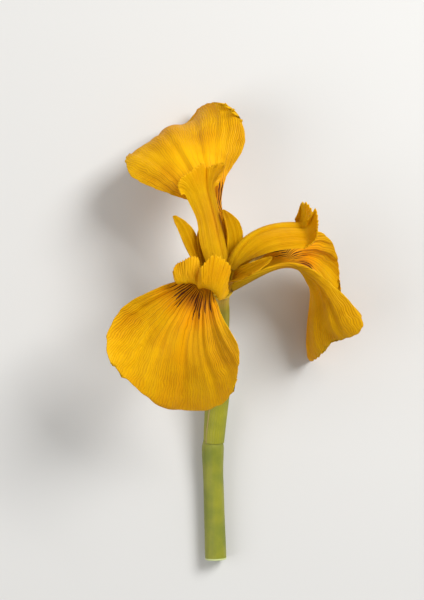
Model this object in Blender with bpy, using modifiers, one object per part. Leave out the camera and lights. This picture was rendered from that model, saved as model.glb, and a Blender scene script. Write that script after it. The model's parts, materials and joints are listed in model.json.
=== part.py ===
"""One yellow flag iris flower, as picked, lying on its back.

The flower, its ovary and tube, the two green spathe valves round them and the
cut stem.  Every piece is worked out in millimetres round the throat, the mouth
of the perianth tube, where all the petals start.  +X is to the right along the
surface, +Y runs from the cut end of the stem towards the flower, +Z is up.
The last step moves everything so that the middle of the footprint is at the
origin and the surface it lies on is z = 0, in metres.
"""
import math

import bmesh
import bpy
import numpy as np

MILLIMETRE = 0.001

# Where the flower sits
THROAT_HEIGHT = 27.0    # throat above the surface the flower lies on
AXIS_TILT = 44.0        # degrees the flower's axis rises from that surface
AXIS_LEAN = 14.0        # degrees it leans over to the right

# Thicknesses
FALL_THICKNESS = 0.7
STANDARD_THICKNESS = 0.6
STYLE_THICKNESS = 0.8
SPATHE_THICKNESS = 0.6

# Where each kind of petal starts: distance from the axis and height over the throat
FALL_START = (3.6, 0.9)
STANDARD_START = (3.5, 1.0)
STYLE_START = (1.3, 9.0)

STYLE_COLUMN_RADIUS = 1.3
STYLE_COLUMN_FOOT = 0.2
STYLE_COLUMN_TOP = 9.6
CREST_NOTCH = 0.70      # share of a style arm's length where its two crests part
CREST_SHOULDER = 0.80   # share of the length reached by its outer margins

# The line through tube, ovary and stem, from the throat to the cut end
AXIS_LINE = [
    (0.0, 0.0, 0.0),
    (0.4, -9.0, -8.0),
    (-0.2, -17.0, -13.0),
    (-1.2, -32.0, -19.0),
    (-2.4, -48.0, -22.2),
    (-2.1, -65.0, -23.3),
    (-1.5, -84.0, -23.7),
]

# Radius at each distance along that line from the throat
TUBE_RADIUS = [(0.4, 4.4), (3.0, 3.4), (8.0, 2.5), (15.0, 2.3), (20.0, 2.6)]
OVARY_RADIUS = [
    (20.3, 2.6), (25.0, 3.4), (31.0, 3.6), (37.0, 2.9), (41.0, 1.8), (53.2, 1.7),
]
STEM_RADIUS = [(53.5, 3.4), (55.0, 4.0), (58.0, 3.5), (70.0, 3.3), (90.0, 3.4)]

# Spathe valves: distance along the line, inner radius, half the angle wrapped
SPATHE_INNER = [
    (53.2, 2.3, 120.0), (48.0, 3.1, 115.0), (38.0, 3.9, 100.0),
    (30.0, 4.1, 75.0), (24.0, 3.9, 45.0), (20.0, 3.5, 12.0),
]
SPATHE_OUTER = [
    (53.2, 3.2, 110.0), (48.0, 4.1, 105.0), (38.0, 5.0, 92.0),
    (28.0, 5.2, 65.0), (22.0, 4.9, 35.0), (18.0, 4.4, 10.0),
]
SPATHE_INNER_FACES = 205.0   # degrees round the stem, 90 is upwards
SPATHE_OUTER_FACES = 25.0

# Stamens stand between a fall and the style arm over it: distance along the
# fall, share of the way across to the style arm, radius
STAMEN_LINE = [
    (1.8, 0.22, 0.4), (4.0, 0.36, 0.45), (7.0, 0.44, 0.45), (9.5, 0.47, 0.5),
    (10.5, 0.48, 0.85), (14.0, 0.49, 0.9), (18.0, 0.50, 0.8), (19.5, 0.50, 0.35),
]

# Stations along a fall and along a standard, as shares of the length
FALL_ANGLES_AT = [0.0, 0.2, 0.4, 0.55, 0.75, 1.0]
FALL_WIDTHS_AT = [0.0, 0.2, 0.34, 0.42, 0.55, 0.7, 0.85, 1.0]
STANDARD_ANGLES_AT = [0.0, 0.25, 0.5, 0.75, 1.0]
STANDARD_WIDTHS_AT = [0.0, 0.3, 0.5, 0.75, 1.0]
STYLE_ANGLES_AT = [0.0, 0.25, 0.5, 0.68, 0.84, 1.0]
STYLE_WIDTHS_AT = [0.0, 0.3, 0.6, 0.72, 0.85, 1.0]

# A petal is given by
#   heading  degrees round the flower's axis where it starts, 0 pointing away
#            from the stem and down, 90 to the left
#   length   along its middle line
#   rise     degrees its middle line climbs along the axis
#   sweep    degrees its middle line is turned from the heading
#   roll     degrees it is rolled about its middle line
#   cup_a, cup_b      degrees each half is curved up across its width
#   width_a, width_b  width of each half; half b is the one further round
FALLS = {
    "fall_front": dict(
        heading=150, length=60.5,
        rise=[85, 45, -45, -55, -55, -70], sweep=[15, 0, 20, 30, 55, 55],
        roll=[0, 5, 10, 15, 25, 10],
        cup_a=[60, 50, 40, 20, 20, 25], cup_b=[60, 55, 45, 35, 40, 35],
        width_a=[1.8, 2.5, 4, 9.5, 20, 23.5, 17, 12],
        width_b=[1.8, 2.5, 2.5, 8, 16, 18.5, 16, 13]),
    "fall_back": dict(
        heading=30, length=68.5,
        rise=[50, 48, 36, 15, -20, -65], sweep=[0, 5, 10, 0, -15, -20],
        roll=[0, -5, -10, -10, -10, -15],
        cup_a=[45, 30, 10, 10, 60, 70], cup_b=[50, 25, -10, -30, -45, -50],
        width_a=[1.8, 3, 3.5, 7, 15.5, 16, 11.5, 9.5],
        width_b=[1.8, 2, 3.5, 10.5, 19.5, 21, 18.5, 14]),
    "fall_right": dict(
        heading=-90, length=63.5,
        rise=[40, 20, -35, -85, -95, -45], sweep=[20, 25, 15, 10, -15, -30],
        roll=[-35, -25, -10, -5, 5, 10],
        cup_a=[95, 90, 85, 90, 90, 85], cup_b=[65, 65, 65, 70, 65, 50],
        width_a=[1.8, 6, 8, 10.5, 18.5, 15.5, 14, 12],
        width_b=[1.5, 5, 9.5, 16, 16.5, 17, 16.5, 13.5]),
}
STANDARDS = {
    "standard_left": dict(
        heading=90, length=24,
        rise=[40, 45, 45, 40, 35], sweep=[-5, -25, -35, -35, -30],
        roll=[0, 5, 10, 5, 5], cup_a=[50, 50, 50, 50, 50], cup_b=[50, 50, 55, 55, 50],
        width_a=[1.2, 2, 3, 3.5, 2.5], width_b=[1.2, 2, 3, 3, 2.5]),
    "standard_back": dict(
        heading=-30, length=23.5,
        rise=[50, 62, 62, 58, 55], sweep=[30, 38, 60, 78, 85],
        roll=[5, 5, 5, 5, 0], cup_a=[50, 50, 50, 50, 50], cup_b=[50, 50, 55, 55, 50],
        width_a=[1.2, 1.5, 2.5, 3.5, 2.5], width_b=[1.2, 1.5, 2.5, 3, 2.5]),
    "standard_right": dict(
        heading=-150, length=23.5,
        rise=[90, 75, 55, 45, 40], sweep=[-5, 20, 55, 75, 90],
        roll=[0, 0, 5, 0, 0], cup_a=[50, 50, 50, 50, 50], cup_b=[50, 50, 50, 50, 50],
        width_a=[1.2, 2, 3, 3.5, 2.5], width_b=[1.2, 2, 3, 2.5, 2]),
}
STYLE_ARMS = {
    "back": dict(
        heading=30, length=36.5,
        rise=[50, 40, 30, 30, 80, 155], sweep=[5, 5, 5, 5, 5, 0],
        roll=[0, 0, 0, 0, 0, 0],
        cup_a=[-80, -70, -50, -20, 30, 55], cup_b=[-75, -65, -45, -20, 30, 60],
        width_a=[2.5, 3.5, 3, 4.5, 7.5, 8.5], width_b=[3, 5.5, 6, 8, 8, 9.5]),
    "right": dict(
        heading=-90, length=37.5,
        rise=[65, 35, 10, -10, 50, 140], sweep=[75, 45, 30, 30, 30, 10],
        roll=[0, 0, -5, -10, -10, 25],
        cup_a=[-75, -65, -50, -25, 20, 40], cup_b=[-75, -70, -60, -40, 0, 30],
        width_a=[2.5, 6.5, 8.5, 9, 8.5, 7.5], width_b=[2, 4, 4.5, 5, 7.5, 11.5]),
    "front": dict(
        heading=150, length=25,
        rise=[80, 48, 10, 5, 90, 170], sweep=[0, -5, -5, 5, 20, 45],
        roll=[0, 5, 10, 5, -5, -25],
        cup_a=[-60, -60, -60, -55, -15, 25], cup_b=[-60, -60, -55, -45, -5, 20],
        width_a=[2.5, 3.5, 3.5, 4, 6.5, 11.5], width_b=[2, 3.5, 3.5, 6.5, 10, 13]),
}

COLOURS = {
    "petal": (0.90, 0.45, 0.01, 1.0),
    "style": (0.92, 0.48, 0.01, 1.0),
    "stamen": (0.55, 0.35, 0.08, 1.0),
    "tube": (0.30, 0.28, 0.01, 1.0),
    "green": (0.16, 0.25, 0.02, 1.0),
}


def curve_through(places, values, at):
    """Smooth curve through (places, values), read at the places in `at`."""
    places = np.asarray(places, float)
    values = np.asarray(values, float)
    at = np.clip(np.asarray(at, float), places[0], places[-1])
    step = np.diff(places)
    slope = np.diff(values) / step
    knot = np.empty_like(values)
    knot[1:-1] = (slope[:-1] * step[1:] + slope[1:] * step[:-1]) / (step[:-1] + step[1:])
    knot[0], knot[-1] = slope[0], slope[-1]
    i = np.clip(np.searchsorted(places, at, side="right") - 1, 0, len(step) - 1)
    t = (at - places[i]) / step[i]
    return (
        (1 + 2 * t) * (1 - t) ** 2 * values[i]
        + t * (1 - t) ** 2 * step[i] * knot[i]
        + t * t * (3 - 2 * t) * values[i + 1]
        + t * t * (t - 1) * step[i] * knot[i + 1]
    )


def flower_axes():
    """Unit vectors of the flower: away from the stem, to the left, along its axis."""
    tilt = math.radians(AXIS_TILT)
    lean = math.radians(AXIS_LEAN)
    axis = np.array([
        math.sin(lean) * math.cos(tilt), math.cos(lean) * math.cos(tilt), math.sin(tilt)])
    away = axis * axis[2] - np.array([0.0, 0.0, 1.0])
    away /= np.linalg.norm(away)
    return away, np.cross(axis, away), axis


def middle_line(petal, angles_at, start):
    """Points along a petal's middle line with its side and upper directions."""
    away, left, axis = flower_axes()
    share = np.linspace(0.0, 1.0, 121)
    rise = np.radians(curve_through(angles_at, petal["rise"], share))[:, None]
    turn = curve_through(angles_at, petal["sweep"], share) + petal["heading"]
    turn = np.radians(turn)[:, None]
    roll = np.radians(curve_through(angles_at, petal["roll"], share))[:, None]
    along = np.cos(rise) * (np.cos(turn) * away + np.sin(turn) * left) + np.sin(rise) * axis
    level = np.cos(turn) * left - np.sin(turn) * away
    side = np.cos(roll) * level + np.sin(roll) * np.cross(along, level)
    upper = np.cross(along, side)
    heading = math.radians(petal["heading"])
    radius, height = start
    foot = radius * (math.cos(heading) * away + math.sin(heading) * left) + height * axis
    steps = (along[:-1] + along[1:]) / 2 * petal["length"] / (len(share) - 1)
    points = foot + np.concatenate([np.zeros((1, 3)), np.cumsum(steps, axis=0)])
    return share, points, side, upper


def sheet(petal, angles_at, widths_at, start, reach, across, narrow):
    """Points of a petal's middle surface.

    reach is the share of the length at each grid point, across runs from -1 on
    one margin to 1 on the other, narrow scales the width.  Each half is bent
    to a circular arc of width w that turns through the cup angle k, so its
    margin lies w sin(k)/k out and w (1 - cos(k))/k up.
    """
    share, points, side, upper = middle_line(petal, angles_at, start)
    half_a = across < 0
    width = np.where(
        half_a,
        curve_through(widths_at, petal["width_a"], reach),
        curve_through(widths_at, petal["width_b"], reach)) * narrow
    cup = np.radians(np.where(
        half_a,
        curve_through(angles_at, petal["cup_a"], reach),
        curve_through(angles_at, petal["cup_b"], reach)))
    cup = np.where(np.abs(cup) < 0.001, 0.001, cup)
    out = width * np.sin(cup * np.abs(across)) / cup * np.sign(across)
    up = width * (1 - np.cos(cup * np.abs(across))) / cup
    pick = [[np.interp(reach, share, line[:, i]) for i in range(3)]
            for line in (points, side, upper)]
    points, side, upper = (np.stack(axes, axis=-1) for axes in pick)
    return points + out[..., None] * side + up[..., None] * upper


def rounded_sheet(petal, angles_at, widths_at, start, round_from, rows, columns):
    """A petal whose far end closes in a rounded tip."""
    reach = np.sin(np.linspace(0.0, math.pi / 2, rows)) ** 1.1
    across = np.linspace(-1.0, 1.0, columns)
    end = np.clip((reach - round_from) / (1 - round_from), 0.0, 1.0)
    narrow = np.sqrt(1 - end ** 2.2)
    grid_reach = np.repeat(reach[:, None], columns, axis=1)
    grid_across = np.repeat(across[None], rows, axis=0)
    return sheet(petal, angles_at, widths_at, start, grid_reach, grid_across, narrow[:, None])


def forked_sheet(petal, rows, columns):
    """A style arm, whose far end parts into two upturned crests."""
    across = np.linspace(-1.0, 1.0, columns)
    outside = np.abs(across)
    inner = CREST_NOTCH + (1 - CREST_NOTCH) * np.sin(math.pi * np.minimum(outside, 0.5))
    bow = np.sqrt(1 - np.clip(2 * outside - 1, 0.0, 1.0) ** 2)
    outer = CREST_SHOULDER + (1 - CREST_SHOULDER) * bow
    tip = np.where(outside < 0.5, inner, outer)
    reach = np.linspace(0.0, 1.0, rows)[:, None] * tip[None]
    grid_across = np.repeat(across[None], rows, axis=0)
    return sheet(
        petal, STYLE_ANGLES_AT, STYLE_WIDTHS_AT, STYLE_START, reach, grid_across, 1.0)


def stamen_line(fall, arm):
    """Centres of a stamen, from the foot of a fall up under its style arm."""
    reach, across, radius = np.array(STAMEN_LINE).T
    fall_share, fall_points = middle_line(fall, FALL_ANGLES_AT, FALL_START)[:2]
    arm_share, arm_points = middle_line(arm, STYLE_ANGLES_AT, STYLE_START)[:2]
    low = [np.interp(reach / fall["length"], fall_share, fall_points[:, i]) for i in range(3)]
    high = [np.interp(reach / arm["length"], arm_share, arm_points[:, i]) for i in range(3)]
    across = across[:, None]
    return np.stack(low, -1) * (1 - across) + np.stack(high, -1) * across, radius


def line_frames(distances):
    """Centres and cross directions of the line through tube, ovary and stem."""
    knots = np.array(AXIS_LINE)
    places = np.concatenate([[0.0], np.cumsum(np.linalg.norm(np.diff(knots, axis=0), axis=1))])
    distances = np.asarray(distances, float)
    centre, ahead = (
        np.stack([curve_through(places, knots[:, i], distances + shift) for i in range(3)], -1)
        for shift in (0.0, 0.5))
    behind = np.stack([curve_through(places, knots[:, i], distances - 0.5) for i in range(3)], -1)
    along = ahead - behind
    along /= np.linalg.norm(along, axis=1)[:, None]
    up = np.array([0.0, 0.0, 1.0]) - along * along[:, 2:3]
    up /= np.linalg.norm(up, axis=1)[:, None]
    return centre, np.cross(up, along), up


def on_surface(points, clearance):
    """Bend whatever would sink into the surface so that it rests on it."""
    points = points.copy()
    height = points[..., 2] + THROAT_HEIGHT - clearance
    softness = 0.4
    settled = softness * np.logaddexp(0.0, height / softness)
    points[..., 2] = settled - THROAT_HEIGHT + clearance
    return points


def new_object(name, mesh, collection, material):
    thing = bpy.data.objects.new(name, mesh)
    collection.objects.link(thing)
    mesh.materials.append(material)
    return thing


def grid_mesh(name, grid):
    """Mesh over a grid of points; a row drawn together to a point is welded."""
    rows, columns = grid.shape[:2]
    index = np.arange(rows * columns).reshape(rows, columns)
    quads = np.stack([index[:-1, :-1], index[:-1, 1:], index[1:, 1:], index[1:, :-1]], -1)
    mesh = bpy.data.meshes.new(name)
    mesh.from_pydata(grid.reshape(-1, 3).tolist(), [], quads.reshape(-1, 4).tolist())
    soft = bmesh.new()
    soft.from_mesh(mesh)
    bmesh.ops.remove_doubles(soft, verts=soft.verts, dist=0.0001)
    soft.to_mesh(mesh)
    soft.free()
    return mesh


def shade_smooth(mesh):
    mesh.polygons.foreach_set("use_smooth", [True] * len(mesh.polygons))


def applied(thing):
    """Replace the object's mesh by the mesh its modifiers give."""
    bpy.context.view_layer.update()
    graph = bpy.context.evaluated_depsgraph_get()
    mesh = bpy.data.meshes.new_from_object(thing.evaluated_get(graph))
    thing.modifiers.clear()
    thing.data = mesh


def leaf(name, grid, thickness, collection, material):
    """A closed leaf of even thickness round a middle surface, resting on the surface."""
    grid = on_surface(grid, thickness / 2)
    thing = new_object(name, grid_mesh(name, grid), collection, material)
    solid = thing.modifiers.new("thickness", "SOLIDIFY")
    solid.thickness = thickness
    solid.offset = 0.0
    applied(thing)
    points = np.empty(len(thing.data.vertices) * 3)
    thing.data.vertices.foreach_get("co", points)
    points = points.reshape(-1, 3)
    points[:, 2] = np.maximum(points[:, 2], -THROAT_HEIGHT)
    thing.data.vertices.foreach_set("co", points.ravel())
    shade_smooth(thing.data)
    return thing


def rod(name, centre, across, up, radius, collection, material, sides=16):
    """A closed round body through rings of given centres and radii."""
    angle = np.linspace(0.0, 2 * math.pi, sides, endpoint=False)
    spoke = np.cos(angle)[None, :, None] * across[:, None] + np.sin(angle)[None, :, None] * up[:, None]
    rings = centre[:, None] + np.asarray(radius)[:, None, None] * spoke
    rings[..., 2] = np.maximum(rings[..., 2], -THROAT_HEIGHT)
    rows = len(rings)
    index = np.arange(rows * sides).reshape(rows, sides)
    around = np.roll(index, -1, axis=1)
    quads = np.stack([index[:-1], around[:-1], around[1:], index[1:]], -1).reshape(-1, 4)
    faces = quads.tolist() + [index[0][::-1].tolist(), index[-1].tolist()]
    mesh = bpy.data.meshes.new(name)
    mesh.from_pydata(rings.reshape(-1, 3).tolist(), [], faces)
    whole = bmesh.new()
    whole.from_mesh(mesh)
    bmesh.ops.recalc_face_normals(whole, faces=whole.faces)
    whole.to_mesh(mesh)
    whole.free()
    shade_smooth(mesh)
    return new_object(name, mesh, collection, material)


def rod_on_line(name, stations, collection, material, sides=16):
    """A round body along the line through tube, ovary and stem."""
    at, radius = np.array(stations).T
    fine = np.unique(np.concatenate([at, np.arange(at[0], at[-1], 2.5)]))
    centre, across, up = line_frames(fine)
    return rod(name, centre, across, up, curve_through(at, radius, fine), collection,
               material, sides)


def spathe_grid(stations, faces, thickness):
    """Middle surface of a spathe valve wrapped round the ovary."""
    at, radius, half = np.array(stations).T
    share = np.linspace(0.0, 1.0, 13)
    order = np.linspace(0.0, 1.0, len(at))
    fine = curve_through(order, at, share)
    centre, across, up = line_frames(fine)
    radius = curve_through(order, radius, share) + thickness / 2
    half = curve_through(order, half, share)
    angle = np.radians(faces + half[:, None] * np.linspace(-1.0, 1.0, 11)[None])
    spoke = np.cos(angle)[..., None] * across[:, None] + np.sin(angle)[..., None] * up[:, None]
    return centre[:, None] + radius[:, None, None] * spoke


def grown_together(body, others):
    """Join the other bodies to the first one and take them away."""
    for other in others:
        join = body.modifiers.new(other.name, "BOOLEAN")
        join.operation = "UNION"
        join.solver = "EXACT"
        join.object = other
        applied(body)
        bpy.data.objects.remove(other, do_unlink=True)
    shade_smooth(body.data)


def place_in_metres(collection):
    """Put the middle of the footprint at the origin, the surface at z = 0."""
    corners = []
    for thing in collection.objects:
        points = np.empty(len(thing.data.vertices) * 3)
        thing.data.vertices.foreach_get("co", points)
        corners += [points.reshape(-1, 3).min(axis=0), points.reshape(-1, 3).max(axis=0)]
    low = np.min(corners, axis=0)
    high = np.max(corners, axis=0)
    origin = np.array([(low[0] + high[0]) / 2, (low[1] + high[1]) / 2, low[2]])
    for thing in collection.objects:
        points = np.empty(len(thing.data.vertices) * 3)
        thing.data.vertices.foreach_get("co", points)
        points = (points.reshape(-1, 3) - origin) * MILLIMETRE
        thing.data.vertices.foreach_set("co", points.ravel())
        thing.data.update()


def main():
    for thing in list(bpy.data.objects):
        bpy.data.objects.remove(thing, do_unlink=True)
    flower = bpy.data.collections.new("iris flower")
    bpy.context.scene.collection.children.link(flower)
    paint = {}

    def material(node, colour):
        made = bpy.data.materials.new(node)
        made.use_nodes = True
        shader = made.node_tree.nodes["Principled BSDF"]
        shader.inputs["Base Color"].default_value = COLOURS[colour]
        shader.inputs["Roughness"].default_value = 0.6
        paint[node] = made
        return made

    rod_on_line("perianth_tube", TUBE_RADIUS, flower, material("perianth_tube", "tube"))
    rod_on_line("ovary", OVARY_RADIUS, flower, material("ovary", "green"))
    rod_on_line("stem", STEM_RADIUS, flower, material("stem", "green"))
    for name, stations, faces in (
            ("spathe_inner", SPATHE_INNER, SPATHE_INNER_FACES),
            ("spathe_outer", SPATHE_OUTER, SPATHE_OUTER_FACES)):
        leaf(name, spathe_grid(stations, faces, SPATHE_THICKNESS), SPATHE_THICKNESS,
             flower, material(name, "green"))
    for name, petal in FALLS.items():
        grid = rounded_sheet(petal, FALL_ANGLES_AT, FALL_WIDTHS_AT, FALL_START, 0.78, 22, 11)
        leaf(name, grid, FALL_THICKNESS, flower, material(name, "petal"))
    for name, petal in STANDARDS.items():
        grid = rounded_sheet(
            petal, STANDARD_ANGLES_AT, STANDARD_WIDTHS_AT, STANDARD_START, 0.55, 11, 7)
        leaf(name, grid, STANDARD_THICKNESS, flower, material(name, "petal"))

    away, left, axis = flower_axes()
    heights = np.array([STYLE_COLUMN_FOOT, 3.0, 6.0, STYLE_COLUMN_TOP])
    style = rod("style", heights[:, None] * axis, np.repeat(away[None], 4, 0),
                np.repeat(left[None], 4, 0), [STYLE_COLUMN_RADIUS] * 4, flower,
                material("style", "style"), 12)
    arms = [
        leaf("style arm " + name, forked_sheet(petal, 14, 13), STYLE_THICKNESS, flower,
             paint["style"])
        for name, petal in STYLE_ARMS.items()]
    grown_together(style, arms)
    for name, arm in STYLE_ARMS.items():
        centre, radius = stamen_line(FALLS["fall_" + name], arm)
        along = np.gradient(centre, axis=0)
        across = np.cross(along, axis)
        across /= np.linalg.norm(across, axis=1)[:, None]
        up = np.cross(across, along)
        up /= np.linalg.norm(up, axis=1)[:, None]
        rod("stamen_" + name, centre, across, up, radius, flower,
            material("stamen_" + name, "stamen"), 10)
    place_in_metres(flower)


main()
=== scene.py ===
# %% [markdown]
# # A yellow flag iris
# One iris flower, picked and laid on its back on a pale table. The rough solids
# of every piece are loaded first; the petals, the style and the green parts are
# then made again as fine surfaces close to where the rough solids lie. All
# shapes are worked out in millimetres round the throat, the mouth of the flower
# tube, because every petal of an iris starts there.

# %% Load the frame
import json
import math

import bpy
import numpy as np
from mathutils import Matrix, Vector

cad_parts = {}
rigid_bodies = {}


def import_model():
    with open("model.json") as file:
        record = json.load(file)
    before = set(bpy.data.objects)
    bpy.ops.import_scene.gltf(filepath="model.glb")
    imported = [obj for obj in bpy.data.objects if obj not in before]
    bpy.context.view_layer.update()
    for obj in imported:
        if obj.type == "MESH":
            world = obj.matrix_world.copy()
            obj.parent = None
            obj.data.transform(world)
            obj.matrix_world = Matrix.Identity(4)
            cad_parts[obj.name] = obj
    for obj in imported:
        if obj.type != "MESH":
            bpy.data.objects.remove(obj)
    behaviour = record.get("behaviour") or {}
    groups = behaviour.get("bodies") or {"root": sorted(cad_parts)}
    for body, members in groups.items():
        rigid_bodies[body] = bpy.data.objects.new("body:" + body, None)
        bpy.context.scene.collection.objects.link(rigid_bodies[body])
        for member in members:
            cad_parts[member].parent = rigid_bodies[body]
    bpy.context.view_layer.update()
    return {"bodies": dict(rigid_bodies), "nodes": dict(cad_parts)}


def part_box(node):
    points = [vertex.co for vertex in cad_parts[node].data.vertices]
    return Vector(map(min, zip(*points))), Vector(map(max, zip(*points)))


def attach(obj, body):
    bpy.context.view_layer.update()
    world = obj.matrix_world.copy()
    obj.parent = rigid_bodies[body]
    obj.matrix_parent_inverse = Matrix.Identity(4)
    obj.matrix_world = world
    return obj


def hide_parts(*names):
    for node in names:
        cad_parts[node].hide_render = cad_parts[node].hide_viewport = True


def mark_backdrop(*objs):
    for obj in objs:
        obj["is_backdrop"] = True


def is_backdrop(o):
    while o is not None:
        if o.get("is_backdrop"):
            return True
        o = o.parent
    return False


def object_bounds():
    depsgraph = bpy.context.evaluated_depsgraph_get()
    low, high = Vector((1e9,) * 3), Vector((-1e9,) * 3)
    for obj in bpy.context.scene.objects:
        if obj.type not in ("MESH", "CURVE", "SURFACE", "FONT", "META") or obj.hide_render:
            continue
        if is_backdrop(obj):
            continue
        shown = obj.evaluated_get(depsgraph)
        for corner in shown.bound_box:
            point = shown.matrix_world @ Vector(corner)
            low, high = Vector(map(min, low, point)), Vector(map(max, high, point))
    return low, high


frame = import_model()
print("nodes:", ", ".join(sorted(frame["nodes"])))

# %% [markdown]
# A smooth curve through a few listed stations is the one tool that all the
# shapes share: how steeply a petal climbs, how far it turns, how wide it is.
# A cubic piece between each two stations, with the slope at a station weighted
# from its neighbours, never swings far past the numbers that were set.

# %% Curves through stations
MM = 0.001


def curve_through(places, values, at):
    """Cubic curve through (places, values), read at the places in `at`."""
    places = np.asarray(places, float)
    values = np.asarray(values, float)
    at = np.clip(np.asarray(at, float), places[0], places[-1])
    step = np.diff(places)
    slope = np.diff(values) / step
    knot = np.empty_like(values)
    knot[1:-1] = (slope[:-1] * step[1:] + slope[1:] * step[:-1]) / (step[:-1] + step[1:])
    knot[0], knot[-1] = slope[0], slope[-1]
    i = np.clip(np.searchsorted(places, at, side="right") - 1, 0, len(step) - 1)
    t = (at - places[i]) / step[i]
    return (
        (1 + 2 * t) * (1 - t) ** 2 * values[i]
        + t * (1 - t) ** 2 * step[i] * knot[i]
        + t * t * (3 - 2 * t) * values[i + 1]
        + t * t * (t - 1) * step[i] * knot[i + 1]
    )


def bell(x, centre, size):
    """A soft bump: 1 at the centre, falling to 0.37 one size away."""
    return np.exp(-((x - centre) / size) ** 2)


# %% [markdown]
# The flower's own directions: its axis rises 44 degrees from the table and
# leans 14 degrees to the right; `away` and `left` lie across it. Tube, ovary and
# stem follow one bent line from the throat to the cut end.

# %% The flower's axes and the line of its stem
AXIS_TILT = 44.0
AXIS_LEAN = 14.0
AXIS_LINE = [
    (0.0, 0.0, 0.0),
    (0.4, -9.0, -8.0),
    (-0.2, -17.0, -13.0),
    (-1.2, -32.0, -19.0),
    (-2.4, -48.0, -22.2),
    (-2.1, -65.0, -23.3),
    (-1.5, -84.0, -23.7),
]
# Radii of the rough tube, from which the throat's place in the frame is found
TUBE_RADIUS = [(0.4, 4.4), (3.0, 3.4), (8.0, 2.5), (15.0, 2.3), (20.0, 2.6)]

tilt = math.radians(AXIS_TILT)
lean = math.radians(AXIS_LEAN)
AXIS = np.array([
    math.sin(lean) * math.cos(tilt), math.cos(lean) * math.cos(tilt), math.sin(tilt)])
AWAY = AXIS * AXIS[2] - np.array([0.0, 0.0, 1.0])
AWAY /= np.linalg.norm(AWAY)
LEFT = np.cross(AXIS, AWAY)


def line_frames(distances):
    """Centres and cross directions at distances along the line below the throat."""
    knots = np.array(AXIS_LINE)
    places = np.concatenate([[0.0], np.cumsum(np.linalg.norm(np.diff(knots, axis=0), axis=1))])
    here, ahead, behind = (
        np.stack([curve_through(places, knots[:, i], distances + shift) for i in range(3)], -1)
        for shift in (0.0, 0.5, -0.5))
    along = ahead - behind
    along /= np.linalg.norm(along, axis=1)[:, None]
    up = np.array([0.0, 0.0, 1.0]) - along * along[:, 2:3]
    up /= np.linalg.norm(up, axis=1)[:, None]
    return here, np.cross(up, along), up


def rings(centre, across, up, radius, sides):
    """Grid of points round a line: centre + radius (cos a across + sin a up)."""
    angle = np.linspace(0.0, 2 * math.pi, sides, endpoint=False)
    spoke = (np.cos(angle)[None, :, None] * across[:, None]
             + np.sin(angle)[None, :, None] * up[:, None])
    return centre[:, None] + np.asarray(radius)[..., None] * spoke


tube_at, tube_radius = np.array(TUBE_RADIUS).T
tube_fine = np.unique(np.concatenate([tube_at, np.arange(tube_at[0], tube_at[-1], 2.5)]))
tube_radii = curve_through(tube_at, tube_radius, tube_fine)[:, None] * np.ones(16)
rough_tube = rings(*line_frames(tube_fine), tube_radii, 16)
THROAT = np.array(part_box("perianth_tube")[0]) / MM - rough_tube.reshape(-1, 3).min(axis=0)
TABLE = -THROAT[2]
print("throat at", THROAT.round(2), "mm in the frame")

# %% [markdown]
# A petal is a sheet carried along its middle line. The line is set by three
# angles at a few stations: how steeply it climbs along the flower's axis, how
# far it turns round the axis, how much it rolls. Across, each half is bent to a
# circular arc, so a positive cup raises the margins to a gutter and a negative
# one arches the petal like a roof. The same formula gives falls, standards and
# style arms; only the stations differ.

# %% The petal sheet
def middle_line(petal, angles_at, start):
    """Middle line of a petal: shares, points, side and upper directions.

    The step direction is cos(rise) (cos(turn) away + sin(turn) left) + sin(rise) axis.
    """
    share = np.linspace(0.0, 1.0, 241)
    rise = np.radians(curve_through(angles_at, petal["rise"], share))[:, None]
    turn = curve_through(angles_at, petal["sweep"], share) + petal["heading"]
    turn = np.radians(turn)[:, None]
    roll = np.radians(curve_through(angles_at, petal["roll"], share))[:, None]
    along = np.cos(rise) * (np.cos(turn) * AWAY + np.sin(turn) * LEFT) + np.sin(rise) * AXIS
    level = np.cos(turn) * LEFT - np.sin(turn) * AWAY
    side = np.cos(roll) * level + np.sin(roll) * np.cross(along, level)
    upper = np.cross(along, side)
    heading = math.radians(petal["heading"])
    radius, height = start
    foot = radius * (math.cos(heading) * AWAY + math.sin(heading) * LEFT) + height * AXIS
    steps = (along[:-1] + along[1:]) / 2 * petal["length"] / (len(share) - 1)
    points = foot + np.concatenate([np.zeros((1, 3)), np.cumsum(steps, axis=0)])
    return share, points, side, upper


def sheet_points(petal, angles_at, widths_at, start, reach, across):
    """Points of a petal's middle surface, and how far each lies from the middle line.

    With half width w and cup angle k, a point at the share a of the half width
    lies w sin(k a)/k out and w (1 - cos(k a))/k up from the middle line; its
    way along the arc is w a.
    """
    share, points, side, upper = middle_line(petal, angles_at, start)
    half_a = across < 0
    width = np.where(
        half_a,
        curve_through(widths_at, petal["width_a"], reach),
        curve_through(widths_at, petal["width_b"], reach))
    cup = np.radians(np.where(
        half_a,
        curve_through(angles_at, petal["cup_a"], reach),
        curve_through(angles_at, petal["cup_b"], reach)))
    cup = np.where(np.abs(cup) < 0.001, 0.001, cup)
    out = width * np.sin(cup * np.abs(across)) / cup * np.sign(across)
    up = width * (1 - np.cos(cup * np.abs(across))) / cup
    points, side, upper = (
        np.stack([np.interp(reach, share, line[:, i]) for i in range(3)], axis=-1)
        for line in (points, side, upper))
    return points + out[..., None] * side + up[..., None] * upper, width * across


def rounded_places(rows, columns, end, power):
    """Reach and across for a sheet whose end is round.

    The reach is u (1 + (t - 1) u^power) with t = 1 - end (1 - sqrt(1 - |a|^2.2)),
    so the far row is an arc and the margins stop at the share 1 - end.
    """
    across = np.linspace(-1.0, 1.0, columns)[None]
    tip = 1 - end * (1 - np.sqrt(1 - np.abs(across) ** 2.2))
    u = np.linspace(0.0, 1.0, rows)[:, None]
    margin = np.maximum(np.abs(across), np.clip(12 * u - 11, 0.0, 1.0))
    return u * (1 + (tip - 1) * u ** power), np.repeat(across, rows, axis=0), margin


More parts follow.
